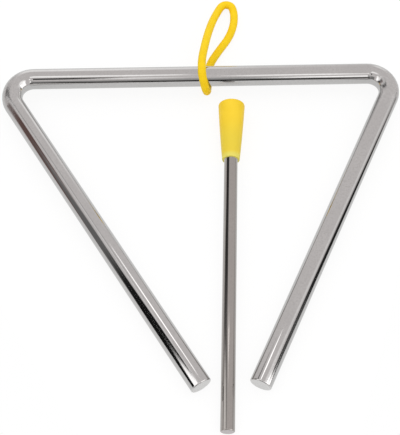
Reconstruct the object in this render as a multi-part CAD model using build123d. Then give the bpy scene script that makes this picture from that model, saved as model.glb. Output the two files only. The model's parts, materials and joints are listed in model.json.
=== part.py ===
from build123d import *
import os
from math import asin, cos, degrees, radians, sin, tan

# Triangle instrument lying flat: a bent steel rod, the cord ring it hangs by, and its beater.
# Millimetres. The table is z = 0 and +Z is up. +X runs along the closed side of the triangle, called the bar,
# and +Y points from the open corner to the bar. The origin is on the table, under the middle of the outline
# of the triangle and the beater.

# Bent rod
rod_diameter = 8.0
left_corner = 58.7  # degrees between the bar and the left leg
right_corner = 64.8  # degrees between the bar and the right leg
bend_radius = 8.1  # on the rod's axis
leg_reach = 128.1  # from the bar's axis to the leg ends, square to the bar
left_gap = 2.0  # along the bar at full reach, from the left leg's inner side to the beater
right_gap = 4.2  # along the bar at full reach, from the beater to the right leg's inner side
rod_end_round = 0.5

# Cord ring
cord_diameter = 3.2
cord_clearance = 0.3  # between the cord and the bar
loop_place = 2.5  # along the bar, from the middle between the two corners

# Beater
beater_diameter = 5.1
beater_length = 132.1
beater_end_round = 0.4
beater_lead_in = 0.3  # chamfer on the end inside the grip
beater_lean = 2.45  # degrees in plan, from square to the bar
beater_gap = 8.3  # from the bar's face to the grip

# Beater grip
grip_length = 24.9
grip_wide_diameter = 10.35
grip_end_wall = 6.2  # from the bore's floor to the wide end
grip_lip_wall = 0.79  # round the bore at the narrow end
grip_bulge = 0.12  # of the tapered side, out from a straight line
grip_wide_round = 0.7
grip_lip_round = 0.25
press_clearance = 0.02  # between the rod and the grip's bore

rod_radius = rod_diameter / 2
cord_radius = cord_diameter / 2
beater_radius = beater_diameter / 2
bore_radius = beater_radius + press_clearance
bore_depth = grip_length - grip_end_wall
grip_wide_radius = grip_wide_diameter / 2
grip_narrow_radius = bore_radius + grip_lip_wall

# The cord passes under the bar, so the bar lies higher than the leg ends and the triangle is tilted.
bar_height = rod_radius + cord_clearance + cord_diameter
rest_tilt = degrees(asin((bar_height - rod_radius) / (leg_reach - rod_end_round)))

# The legs' spread follows from the corners, the reach and the mouth.
left_spread = leg_reach / tan(radians(left_corner))
right_spread = leg_reach / tan(radians(right_corner))
left_half_width = rod_radius / sin(radians(left_corner))
right_half_width = rod_radius / sin(radians(right_corner))
mouth_width = left_gap + beater_diameter + right_gap
end_spacing = left_half_width + mouth_width + right_half_width
corner_span = left_spread + end_spacing + right_spread
left_end_x = left_spread - corner_span / 2
right_end_x = corner_span / 2 - right_spread

# The beater's axis rises from its tip, which lies on the table, to the rim of the grip, which does too.
rest_span = beater_length - grip_wide_round - beater_end_round
beater_rise = degrees(asin((grip_wide_radius - beater_radius) / rest_span))
beater_run = beater_length * cos(radians(beater_rise))
grip_end_y = -(rod_radius + beater_gap)
tip_y = grip_end_y - beater_run * cos(radians(beater_lean))
mouth_x = left_end_x + left_half_width + left_gap + beater_radius
tip_x = mouth_x + (tip_y + leg_reach) * tan(radians(beater_lean))

# The origin is in the middle of the outline.
left_edge_x = -corner_span / 2 + bend_radius / tan(radians(left_corner / 2)) - bend_radius - rod_radius
right_edge_x = corner_span / 2 - bend_radius / tan(radians(right_corner / 2)) + bend_radius + rod_radius
middle_x = (left_edge_x + right_edge_x) / 2
middle_y = (rod_radius + tip_y - (beater_radius - beater_end_round) * sin(radians(beater_lean))) / 2
to_origin = Pos(-middle_x, -middle_y, 0)
on_bar = to_origin * Pos(0, 0, bar_height)


def round_bar(path, radius):
    """A solid bar of round section along a path."""
    section = Plane(origin=path @ 0, z_dir=path % 0) * Circle(radius)
    return sweep(section, path=path)


def make_triangle_rod():
    """One rod with two bends, its free ends cut square and rounded at the edge."""
    path = FilletPolyline(
        (left_end_x, -leg_reach, 0),
        (-corner_span / 2, 0, 0),
        (corner_span / 2, 0, 0),
        (right_end_x, -leg_reach, 0),
        radius=bend_radius,
    )
    rod = round_bar(path, rod_radius)
    ends = [face.outer_wire().edges() for face in rod.faces().filter_by(GeomType.PLANE)]
    rod = fillet([edge for wire in ends for edge in wire], rod_end_round)
    return on_bar * Rot(rest_tilt, 0, 0) * rod


def loop_route():
    """Points of the cord ring from the bar's axis: out along the table, back over the bar and round it."""
    wrap = rod_radius + cord_clearance + cord_radius
    turn = wrap * tan(radians(22.5))
    return [
        (1.4, 3.6, -wrap),
        (2.0, 9.7, -wrap),
        (6.3, 16.9, -wrap),
        (10.35, 22.9, -wrap),
        (12.5, 29.0, -wrap),
        (13.0, 34.0, -wrap),
        (12.6, 37.6, -wrap),
        (11.8, 39.45, -wrap),
        (10.05, 40.25, -wrap),
        (8.3, 39.65, -5.75),
        (7.2, 38.1, -5.45),
        (5.9, 35.0, -4.6),
        (4.0, 29.8, -2.8),
        (1.8, 21.0, 0.4),
        (0.2, 12.0, 3.6),
        (-1.1, 4.0, wrap),
        (-1.2, -turn, wrap),
        (-0.25, -wrap, turn),
        (0.7, -wrap, -turn),
        (1.1, -turn, -wrap),
    ]


def arc_radii(points):
    """The largest arc that each corner of a closed route has room for."""
    radii = []
    for i, point in enumerate(points):
        run_in = Vector(point) - Vector(points[i - 1])
        run_out = Vector(points[(i + 1) % len(points)]) - Vector(point)
        half_turn = radians(run_in.get_angle(run_out) / 2)
        radii.append(0.45 * min(run_in.length, run_out.length) / tan(half_turn))
    return radii


def make_hanging_loop():
    """A closed ring of cord round the bar, lying on the table behind it, swept as two halves."""
    route = loop_route()
    radii = arc_radii(route)
    half_count = len(route) // 2
    seam = (Vector(route[-1]) + Vector(route[0])) / 2
    far_seam = (Vector(route[half_count - 1]) + Vector(route[half_count])) / 2
    out_path = FilletPolyline(seam, *route[:half_count], far_seam, radius=radii[:half_count])
    back_path = FilletPolyline(far_seam, *route[half_count:], seam, radius=radii[half_count:])
    ring = round_bar(out_path, cord_radius) + round_bar(back_path, cord_radius)
    length = out_path.length + back_path.length
    tube_volume = Circle(cord_radius).area * length
    print("cord radii", [round(radius, 1) for radius in radii])
    print("cord length", round(length, 1), "volume share", round(ring.volume / tube_volume, 4))
    return on_bar * Pos(loop_place, 0, 0) * ring


def on_beater_axis(shape):
    """Places a shape that stands on +Z from the beater's tip along the beater as it lies."""
    lay = Rot(0, 0, -beater_lean) * Rot(beater_rise - 90, 0, 0)
    return to_origin * Pos(tip_x, tip_y, beater_radius) * lay * shape


def make_beater_rod():
    """A straight rod from the tip to the floor of the grip's bore."""
    length = beater_length - grip_end_wall
    rod = Cylinder(beater_radius, length, align=(Align.CENTER, Align.CENTER, Align.MIN))
    rod = fillet(rod.edges().filter_by(GeomType.CIRCLE).group_by(Axis.Z)[0], beater_end_round)
    rod = chamfer(rod.edges().filter_by(GeomType.CIRCLE).group_by(Axis.Z)[-1], beater_lead_in)
    return on_beater_axis(rod)


def make_beater_grip():
    """A tapered cap with a blind bore, wide at the far end."""
    side = SagittaArc((grip_narrow_radius, 0), (grip_wide_radius, grip_length), -grip_bulge)
    ends = Polyline(
        (grip_wide_radius, grip_length),
        (0, grip_length),
        (0, bore_depth),
        (bore_radius, bore_depth),
        (bore_radius, 0),
        (grip_narrow_radius, 0),
    )
    half = make_face([side, ends])
    wide_corner = half.vertices().sort_by_distance((grip_wide_radius, grip_length))[0]
    half = fillet(wide_corner, grip_wide_round)
    lip_corner = half.vertices().sort_by_distance((grip_narrow_radius, 0))[0]
    half = fillet(lip_corner, grip_lip_round)
    grip = revolve(Plane.XZ * half, axis=Axis.Z)
    return on_beater_axis(Pos(0, 0, beater_length - grip_length) * grip)


parts = {
    "triangle_rod": make_triangle_rod(),
    "hanging_loop": make_hanging_loop(),
    "beater_rod": make_beater_rod(),
    "beater_grip": make_beater_grip(),
}
os.makedirs("parts", exist_ok=True)
for name, shape in parts.items():
    export_step(shape, f"parts/{name}.step")
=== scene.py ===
import json
from math import cos, pi, radians, sin, tan

import bpy
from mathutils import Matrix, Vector


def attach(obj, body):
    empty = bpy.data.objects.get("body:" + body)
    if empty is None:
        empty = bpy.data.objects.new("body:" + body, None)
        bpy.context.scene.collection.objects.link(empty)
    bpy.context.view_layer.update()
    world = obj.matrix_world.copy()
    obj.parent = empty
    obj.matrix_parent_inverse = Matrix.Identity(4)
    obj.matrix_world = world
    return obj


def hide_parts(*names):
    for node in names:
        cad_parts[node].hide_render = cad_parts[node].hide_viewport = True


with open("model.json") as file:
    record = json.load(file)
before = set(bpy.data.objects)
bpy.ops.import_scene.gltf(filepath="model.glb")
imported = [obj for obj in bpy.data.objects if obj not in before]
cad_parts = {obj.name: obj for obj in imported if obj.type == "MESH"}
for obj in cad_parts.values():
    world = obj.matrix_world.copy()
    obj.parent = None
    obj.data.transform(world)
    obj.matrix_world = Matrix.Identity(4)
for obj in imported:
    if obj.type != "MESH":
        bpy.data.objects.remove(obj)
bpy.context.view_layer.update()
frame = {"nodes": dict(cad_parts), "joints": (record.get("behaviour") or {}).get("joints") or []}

# Triangle instrument with its cord ring and beater, lying on a white table.
# Metres, in the part's own frame. Light levels and colours are linear, and 1 is white.

# Camera, at the photograph's viewing angle
camera_place = Vector((-0.00570, -0.20335, 0.39365))
camera_target = Vector((-0.00137, 0.01080, 0.0))
camera_lens = 98.4  # millimetres

# Cord ring
cord_diameter = 0.0032
bar_wrap = 0.0059  # from the bar's axis to the cord's
wrap_turn = 0.00244  # from the axis to the corners of the route round the bar

# Rods, for the marks of polishing that run along them
left_corner = radians(58.7)  # between the bar and the left leg
right_corner = radians(64.8)  # between the bar and the right leg
beater_lean = radians(2.45)  # in plan, from square to the bar
bar_axis = Vector((1, 0, 0))
left_leg_axis = Vector((cos(left_corner), -sin(left_corner), 0))
right_leg_axis = Vector((-cos(right_corner), -sin(right_corner), 0))
beater_axis = Vector((-sin(beater_lean), -cos(beater_lean), 0))
bar_edge = 0.058  # the bar and its bends lie beyond this y
mouth_middle = 0.009  # x between the two legs
leg_ends = -0.045  # the cut ends lie before this y
bend_fade_y = (0.043, 0.062)  # the bends turn dull over these y
bend_fade_x = (0.066, 0.073)  # and over these x, on both sides
bend_fade_out = (0.0, 0.03)  # x times the surface's facing along X, from their inner to their outer side
bend_inner_dullness = 0.8  # of the outer side's

# Marks and relief: the scales are marks per metre, and the depths are metres
mark_length = 50  # times the width of a polishing mark
noise_range = (0.3, 0.7)  # most of the noise lies in it
mottle_range = (0.35, 0.7)
haze_range = (0.35, 0.65)
speck_range = (0.4, 0.7)
cut_range = (0.85, 0.97)  # how squarely a cut end faces along its rod

# Plating
line_scale = 1400
chrome_grain_scale = 2600
chrome_grain_height = 0.2  # times the height of the lines
speck_scale = 1300
haze_scale = 90
chrome_roughness = (0.03, 0.06)
haze_roughness = 0.03
matt_roughness = 0.22
chrome_depth = 0.000001
triangle_colors = {
    "clear": (0.587, 0.582, 0.577),
    "hazy": (0.565, 0.56, 0.555),
    "speck": (0.54, 0.535, 0.53),
    "cut": (0.72, 0.715, 0.705),
}
beater_colors = {
    "clear": (0.44, 0.417, 0.396),
    "hazy": (0.42, 0.398, 0.379),
    "speck": (0.405, 0.383, 0.365),
    "cut": (0.56, 0.53, 0.53),
}

# Cord finish
cord_color = (1.0, 0.70, 0.012)
cord_mottle_color = (0.97, 0.645, 0.009)
cord_mottle_scale = 350
cord_mottle_height = 2.0  # times the height of the grain
cord_grain_scale = 3000
cord_roughness = (0.42, 0.56)
cord_shine = 0.15
cord_depth = 0.000015

# Grip finish
grip_color = (0.99, 0.69, 0.036)
grip_mottle_color = (0.96, 0.66, 0.030)
# Painted shade: the grip's colour turns darker and greyer towards its narrow end
grip_painted_shade_color = (0.86, 0.655, 0.052)
grip_lip_color = (0.84, 0.74, 0.14)
grip_painted_shade_range = (0.75, 0.25)  # shares of the grip's length from its narrow end
grip_lip_range = (0.11, 0.03)
grip_mottle_scale = 260
grip_mottle_height = 1.5  # times the height of the grain
grip_grain_scale = 2400
grip_roughness = (0.36, 0.48)
grip_shine = 0.2
grip_depth = 0.00002

# Table: a white sheet, with its corners as seen from above
table_corners = [(0.002, -0.15), (0.029, -0.15), (0.1365, 0.2), (-0.211, 0.2)]
table_color = (0.9, 0.9, 0.9)
table_glow = 0.85  # share of its look that keeps its own brightness in the shade
table_level_seen = 1.03  # to the camera
table_level_mirrored = 0.86  # in the plating

# Room
white = (1, 1, 1)
warm_tint = (1, 0.985, 0.98)  # of its greys
brown = (0.16, 0.095, 0.085)
room_level_low = 0.56  # of its soft light at the horizon
room_level_high = 1.25  # and overhead
room_wall = (0.785, 0.75, 0.745)  # between the panels that the plating mirrors

# Strip lamps above the leg ends: each one's middle, its length and width, its turns about X, Y and Z
# in degrees, and its level straight ahead
lamp_spread = 20  # degrees
lamps = [
    ((-0.012, 0.0113, 0.10), (0.068, 0.018), (-22, -11, -36), 1.7),
    ((0.014, -0.012, 0.10), (0.018, 0.024), (-21, 0, 13), 1.7),
]


def grey(level):
    """A grey of the room."""
    return tuple(level * share for share in warm_tint)


# What the plating mirrors: each panel's azimuth from +Y to +X and elevation, its width and height,
# its tilt, its soft edge, all in degrees, and its colour
behind_panels = [
    ((-9.5, 6), (25, 50), 0, 14, grey(1.22)),
    ((23, 6), (13, 34), 0, 8, grey(1.18)),
    ((-30, 2), (5, 24), 0, 4, grey(0.45)),
    ((-68, 65), (22, 8), -22, 5, grey(0.98)),
    ((-48.3, 60.3), (6, 24), -41, 3, grey(0.42)),
    ((-50, 47), (13, 15), 0, 4, grey(0.19)),
    ((-61.5, 28.5), (6, 43), -5, 3, grey(0.12)),
    ((-53.5, 27), (14, 27), -4, 4, grey(0.04)),
    ((-45.6, 46), (13.5, 15), -35, 4, grey(0.07)),
    ((-69, 15), (5, 11), 0, 4, grey(0.2)),
    ((-65.4, 37), (6, 35), -16, 3, grey(1.1)),
]
front_panels = [
    ((-119, 30), (14, 46), 0, 6, grey(2.0)),
    ((-155, 13), (26, 36), 0, 6, grey(0.25)),
    ((178, 6), (24, 17), 0, 5, grey(0.02)),
    ((176, 19), (9, 10), 0, 5, grey(0.30)),
    ((-175, 21), (13, 12), 0, 6, grey(0.33)),
    ((177, 30), (8, 16), 0, 5, grey(0.5)),
    ((170.5, 28), (9, 13), 0, 4, grey(1.7)),
    ((170, 56), (11, 13), 0, 4, grey(1.5)),
    ((-176, 48), (6, 10), 0, 4, grey(1.3)),
    ((-169.3, 53), (8.4, 17), 0, 4, grey(0.05)),
    ((-142, 77), (75, 14), 0, 6, grey(1.45)),
]
left_panels = [
    ((-88, 19), (9, 53), -18, 5, brown),
    ((-95, 21), (9, 57), -12, 5, grey(0.19)),
    ((-103.3, 14), (11, 46), -6.5, 2.5, grey(0.01)),
    ((-94, 45), (7.6, 37), -22, 2.5, grey(0.01)),
    ((-104.8, 31), (6, 24), -12.5, 1.2, grey(1.9)),
    ((-99.9, 49), (6, 16), -23, 1.2, grey(1.9)),
    ((-93.3, 60), (6, 12), -46, 1.2, grey(1.9)),
]
right_panels = [
    ((118, 34), (36, 56), 0, 8, grey(1.9)),
    ((103, 53), (34, 26), 0, 20, grey(1.45)),
    ((82.3, 24), (5, 46), -14, 5, grey(1.02)),
    ((73, 2), (8, 12), 0, 6, grey(0.4)),
    ((90.5, 2), (12.4, 42), -16, 5, grey(0.02)),
    ((94.5, 5), (5, 40), 0, 2, grey(0.11)),
    ((98.8, 6), (5.4, 26), 0, 0.5, grey(2.6)),
    ((96.9, 30), (6, 26), 9, 0.5, grey(2.6)),
]


def add_node(tree, kind, inputs=None, **settings):
    """A shader node with its settings, and its inputs given as values or as sockets to link."""
    made = tree.nodes.new(kind)
    for name, value in settings.items():
        setattr(made, name, value)
    for key, value in (inputs or {}).items():
        if isinstance(value, bpy.types.NodeSocket):
            tree.links.new(value, made.inputs[key])
        else:
            made.inputs[key].default_value = value
    return made


def calculate(tree, operation, first, second=0.0, third=0.0):
    """One step of arithmetic."""
    return add_node(tree, "ShaderNodeMath", {0: first, 1: second, 2: third}, operation=operation).outputs[0]


def project(tree, vector, axis):
    """How far a vector reaches along an axis."""
    inputs = {0: vector, 1: axis}
    return add_node(tree, "ShaderNodeVectorMath", inputs, operation="DOT_PRODUCT").outputs["Value"]


def blend(tree, share, first, second):
    """The first colour or vector, or the second where share is 1."""
    made = add_node(tree, "ShaderNodeMix", {0: share}, data_type="RGBA")
    for socket, value in ((made.inputs[6], first), (made.inputs[7], second)):
        if isinstance(value, bpy.types.NodeSocket):
            tree.links.new(value, socket)
        else:
            socket.default_value = (*value, 1)
    return made.outputs[2]


def ramp(tree, value, low, high, to_low=0.0, to_high=1.0):
    """A smooth step of value from low to high."""
    inputs = {"Value": value, "From Min": low, "From Max": high, "To Min": to_low, "To Max": to_high}
    return add_node(tree, "ShaderNodeMapRange", inputs, interpolation_type="SMOOTHSTEP").outputs[0]


def noise(tree, place, scale, detail=2.0):
    """Random marks of about 1 / scale metres."""
    inputs = {"Vector": place, "Scale": scale, "Detail": detail}
    return add_node(tree, "ShaderNodeTexNoise", inputs).outputs[0]


def drawn_out(tree, place, axis):
    """Places drawn out along an axis, for marks that run along it."""
    length = calculate(tree, "MULTIPLY", project(tree, place, axis), 1 - 1 / mark_length)
    shift = add_node(tree, "ShaderNodeVectorMath", {0: axis, "Scale": length}, operation="SCALE").outputs[0]
    return add_node(tree, "ShaderNodeVectorMath", {0: place, 1: shift}, operation="SUBTRACT").outputs[0]


def start_material(name):
    """A new material, its nodes and its shader."""
    material = bpy.data.materials.new(name)
    material.use_nodes = True
    return material, material.node_tree, material.node_tree.nodes["Principled BSDF"]


def finish_surface(tree, shader, color, roughness, height, depth):
    """Links a surface's colour, roughness and relief to its shader."""
    relief = add_node(tree, "ShaderNodeBump", {"Height": height, "Distance": depth, "Strength": 1.0})
    tree.links.new(color, shader.inputs["Base Color"])
    tree.links.new(roughness, shader.inputs["Roughness"])
    tree.links.new(relief.outputs[0], shader.inputs["Normal"])


def dress_chrome(tree, shader, place, marks, end_share, matt_share, colors):
    """Bright plating with polishing marks along the rod, a fine grain, and matt where matt_share is 1."""
    lines = noise(tree, marks, line_scale, detail=3)
    grain = noise(tree, place, chrome_grain_scale)
    specks = noise(tree, place, speck_scale)
    haze = noise(tree, place, haze_scale)
    color = blend(tree, ramp(tree, haze, *haze_range), colors["clear"], colors["hazy"])
    color = blend(tree, ramp(tree, specks, *speck_range), color, colors["speck"])
    color = blend(tree, end_share, color, colors["cut"])
    roughness = ramp(tree, lines, *noise_range, *chrome_roughness)
    roughness = calculate(tree, "MULTIPLY_ADD", haze, haze_roughness, roughness)
    roughness = calculate(tree, "MULTIPLY_ADD", matt_share, matt_roughness, roughness)
    height = calculate(tree, "MULTIPLY_ADD", grain, chrome_grain_height, lines)
    shader.inputs["Metallic"].default_value = 1.0
    finish_surface(tree, shader, color, roughness, height, chrome_depth)


def triangle_chrome():
    """Chrome of the triangle, matt on its cut ends and duller round its bends."""
    material, tree, shader = start_material("triangle_chrome")
    place = add_node(tree, "ShaderNodeTexCoord").outputs
    sides = add_node(tree, "ShaderNodeSeparateXYZ", {0: place["Object"]}).outputs
    on_right = calculate(tree, "GREATER_THAN", sides["X"], mouth_middle)
    on_bar = calculate(tree, "GREATER_THAN", sides["Y"], bar_edge)
    marks = blend(tree, on_right, drawn_out(tree, place["Object"], left_leg_axis),
                  drawn_out(tree, place["Object"], right_leg_axis))
    marks = blend(tree, on_bar, marks, drawn_out(tree, place["Object"], bar_axis))
    facing = calculate(tree, "MAXIMUM", project(tree, place["Normal"], left_leg_axis),
                       project(tree, place["Normal"], right_leg_axis))
    at_end = calculate(tree, "LESS_THAN", sides["Y"], leg_ends)
    end_share = calculate(tree, "MULTIPLY", ramp(tree, facing, *cut_range), at_end)
    normal = add_node(tree, "ShaderNodeSeparateXYZ", {0: place["Normal"]}).outputs
    outward = calculate(tree, "MULTIPLY", sides["X"], normal["X"])
    dullness = ramp(tree, outward, *bend_fade_out, bend_inner_dullness, 1.0)
    from_middle = calculate(tree, "ABSOLUTE", sides["X"])
    at_bend = calculate(tree, "MULTIPLY", ramp(tree, sides["Y"], *bend_fade_y),
                        ramp(tree, from_middle, *bend_fade_x))
    matt_share = calculate(tree, "MULTIPLY_ADD", dullness, at_bend, end_share)
    dress_chrome(tree, shader, place["Object"], marks, end_share, matt_share, triangle_colors)
    return material


def beater_chrome():
    """Chrome of the beater, a little darker and warmer."""
    material, tree, shader = start_material("beater_chrome")
    place = add_node(tree, "ShaderNodeTexCoord").outputs
    marks = drawn_out(tree, place["Object"], beater_axis)
    end_share = ramp(tree, project(tree, place["Normal"], beater_axis), *cut_range)
    dress_chrome(tree, shader, place["Object"], marks, end_share, end_share, beater_colors)
    return material


def cord_rubber():
    """Satin yellow cord, finely mottled."""
    material, tree, shader = start_material("cord_rubber")
    place = add_node(tree, "ShaderNodeTexCoord").outputs["Object"]
    mottle = noise(tree, place, cord_mottle_scale, detail=3)
    grain = noise(tree, place, cord_grain_scale)
    color = blend(tree, ramp(tree, mottle, *mottle_range), cord_color, cord_mottle_color)
    roughness = ramp(tree, grain, *noise_range, *cord_roughness)
    height = calculate(tree, "MULTIPLY_ADD", mottle, cord_mottle_height, grain)
    shader.inputs["Specular IOR Level"].default_value = cord_shine
    finish_surface(tree, shader, color, roughness, height, cord_depth)
    return material


def grip_plastic():
    """Satin yellow plastic, with painted shade that darkens and greys it towards the narrow end, and paler
    at its lip.
    """
    material, tree, shader = start_material("grip_plastic")
    place = add_node(tree, "ShaderNodeTexCoord").outputs
    along = add_node(tree, "ShaderNodeSeparateXYZ", {0: place["Generated"]}).outputs["Y"]
    mottle = noise(tree, place["Object"], grip_mottle_scale, detail=3)
    grain = noise(tree, place["Object"], grip_grain_scale)
    color = blend(tree, ramp(tree, mottle, *mottle_range), grip_color, grip_mottle_color)
    # Painted shade, darker and greyer towards the narrow end
    color = blend(tree, ramp(tree, along, *grip_painted_shade_range), color, grip_painted_shade_color)
    color = blend(tree, ramp(tree, along, *grip_lip_range), color, grip_lip_color)
    roughness = ramp(tree, grain, *noise_range, *grip_roughness)
    height = calculate(tree, "MULTIPLY_ADD", mottle, grip_mottle_height, grain)
    shader.inputs["Specular IOR Level"].default_value = grip_shine
    finish_surface(tree, shader, color, roughness, height, grip_depth)
    return material


def dress_node(name, material):
    """Gives a CAD node its finish."""
    slots = frame["nodes"][name].data.materials
    slots.clear()
    slots.append(material)


def loop_route():
    """Points of the cord ring from the bar's axis: out along the table, back over the bar and round it."""
    return [
        (0.0014, 0.0036, -bar_wrap),
        (0.0020, 0.0097, -bar_wrap),
        (0.0063, 0.0169, -bar_wrap),
        (0.01035, 0.0229, -bar_wrap),
        (0.0125, 0.0290, -bar_wrap),
        (0.0130, 0.0340, -bar_wrap),
        (0.0126, 0.0376, -bar_wrap),
        (0.0118, 0.03945, -bar_wrap),
        (0.01005, 0.04025, -bar_wrap),
        (0.0083, 0.03965, -0.00575),
        (0.0072, 0.0381, -0.00545),
        (0.0059, 0.0350, -0.0046),
        (0.0040, 0.0298, -0.0028),
        (0.0018, 0.0210, 0.0004),
        (0.0002, 0.0120, 0.0036),
        (-0.0011, 0.0040, bar_wrap),
        (-0.0012, -wrap_turn, bar_wrap),
        (-0.00025, -bar_wrap, wrap_turn),
        (0.0007, -bar_wrap, -wrap_turn),
        (0.0011, -wrap_turn, -bar_wrap),
    ]


def make_loop():
    """The cord ring as one open spline whose ends meet under the bar."""
    hinge = next(joint for joint in frame["joints"] if joint["name"] == "loop_swing")
    bar_point = Vector(hinge["pos_m"])
    route = [bar_point + Vector(point) for point in loop_route()]
    seam = (route[-1] + route[0]) / 2
    points = [seam, *route, seam]
    data = bpy.data.curves.new("hanging_cord", "CURVE")
    data.dimensions = "3D"
    data.bevel_depth = cord_diameter / 2
    data.bevel_resolution = 10
    data.resolution_u = 16
    data.use_fill_caps = True
    spline = data.splines.new("NURBS")
    spline.points.add(len(points) - 1)
    for control, point in zip(spline.points, points):
        control.co = (*point, 1)
    spline.order_u = 3
    spline.use_endpoint_u = True
    data.materials.append(cord_rubber())
    loop = bpy.data.objects.new("hanging_cord", data)
    bpy.context.scene.collection.objects.link(loop)
    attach(loop, "loop")
    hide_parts("hanging_loop")


def table_material():
    """Matt white, which keeps a soft shadow where the camera or a mirror looks at it."""
    material = bpy.data.materials.new("table")
    material.use_nodes = True
    tree = material.node_tree
    tree.nodes.clear()
    path = add_node(tree, "ShaderNodeLightPath").outputs
    mirrored = calculate(tree, "MAXIMUM", path["Is Glossy Ray"], path["Is Transmission Ray"])
    seen = calculate(tree, "MAXIMUM", path["Is Camera Ray"], mirrored)
    level = ramp(tree, mirrored, 0.0, 1.0, table_level_seen, table_level_mirrored)
    glow = add_node(tree, "ShaderNodeEmission", {"Color": (*white, 1), "Strength": level})
    matt = add_node(tree, "ShaderNodeBsdfDiffuse", {"Color": (*table_color, 1)})
    share = calculate(tree, "MULTIPLY", seen, table_glow)
    mixed = add_node(tree, "ShaderNodeMixShader", {0: share, 1: matt.outputs[0], 2: glow.outputs[0]})
    add_node(tree, "ShaderNodeOutputMaterial", {"Surface": mixed.outputs[0]})
    return material


def make_table():
    """The flat sheet that the part lies on."""
    data = bpy.data.meshes.new("table")
    data.from_pydata([(*corner, 0) for corner in table_corners], [], [range(len(table_corners))])
    data.materials.append(table_material())
    table = bpy.data.objects.new("table", data)
    bpy.context.scene.collection.objects.link(table)


def panel_share(tree, direction, elevation, at, size, tilt, edge):
    """Where a panel of the room is."""
    turn = radians(at[0])
    across = project(tree, direction, (cos(turn), -sin(turn), 0))
    ahead = project(tree, direction, (sin(turn), cos(turn), 0))
    side = calculate(tree, "DEGREES", calculate(tree, "ARCTAN2", across, ahead))
    rise = calculate(tree, "SUBTRACT", elevation, at[1])
    lean = radians(tilt)
    along = calculate(tree, "MULTIPLY_ADD", side, cos(lean), calculate(tree, "MULTIPLY", rise, sin(lean)))
    over = calculate(tree, "MULTIPLY_ADD", rise, cos(lean), calculate(tree, "MULTIPLY", side, -sin(lean)))
    shares = []
    for offset, length in ((along, size[0]), (over, size[1])):
        distance = calculate(tree, "ABSOLUTE", offset)
        shares.append(ramp(tree, distance, (length - edge) / 2, (length + edge) / 2, 1.0, 0.0))
    return calculate(tree, "MULTIPLY", *shares)


def make_room():
    """White to the camera, a soft light from above, and panels for the plating to mirror."""
    world = bpy.data.worlds.new("room")
    bpy.context.scene.world = world
    world.use_nodes = True
    tree = world.node_tree
    tree.nodes.clear()
    direction = add_node(tree, "ShaderNodeTexCoord").outputs["Generated"]
    height = add_node(tree, "ShaderNodeSeparateXYZ", {0: direction}).outputs["Z"]
    elevation = calculate(tree, "DEGREES", calculate(tree, "ARCSINE", height))
    mirrored_room = room_wall
    for at, size, tilt, edge, color in behind_panels + front_panels + left_panels + right_panels:
        share = panel_share(tree, direction, elevation, at, size, tilt, edge)
        mirrored_room = blend(tree, share, mirrored_room, color)
    light = blend(tree, height, grey(room_level_low), grey(room_level_high))
    path = add_node(tree, "ShaderNodeLightPath").outputs
    mirrored = calculate(tree, "MAXIMUM", path["Is Glossy Ray"], path["Is Transmission Ray"])
    light = blend(tree, mirrored, light, mirrored_room)
    light = blend(tree, path["Is Camera Ray"], light, white)
    background = add_node(tree, "ShaderNodeBackground", {"Color": light, "Strength": 1.0})
    add_node(tree, "ShaderNodeOutputWorld", {"Surface": background.outputs[0]})


def make_lamp(place, size, turns, level):
    """A narrow strip that only shiny surfaces mirror, brightest straight ahead."""
    half_spread = radians(lamp_spread / 2)
    data = bpy.data.lights.new("strip_lamp", "AREA")
    data.shape = "RECTANGLE"
    data.size, data.size_y = size
    data.spread = 2 * half_spread
    # The energy that gives this level straight ahead
    data.energy = level * pi * size[0] * size[1] * (1 - half_spread / tan(half_spread))
    lamp = bpy.data.objects.new("strip_lamp", data)
    lamp.location = place
    lamp.rotation_euler = [radians(turn) for turn in turns]
    lamp.visible_camera = False
    lamp.visible_diffuse = False
    bpy.context.scene.collection.objects.link(lamp)


def make_camera():
    """The photograph's camera."""
    data = bpy.data.cameras.new("camera")
    data.lens = camera_lens
    camera = bpy.data.objects.new("camera", data)
    camera.location = camera_place
    camera.rotation_mode = "QUATERNION"
    camera.rotation_quaternion = (camera_target - camera_place).to_track_quat("-Z", "Y")
    bpy.context.scene.collection.objects.link(camera)
    bpy.context.scene.camera = camera


dress_node("triangle_rod", triangle_chrome())
dress_node("beater_rod", beater_chrome())
dress_node("beater_grip", grip_plastic())
# The rods mirror no grip, as in the photograph.
frame["nodes"]["beater_grip"].visible_glossy = False
make_loop()
make_table()
make_room()
for lamp_values in lamps:
    make_lamp(*lamp_values)
make_camera()
bpy.context.scene.view_settings.view_transform = "Standard"
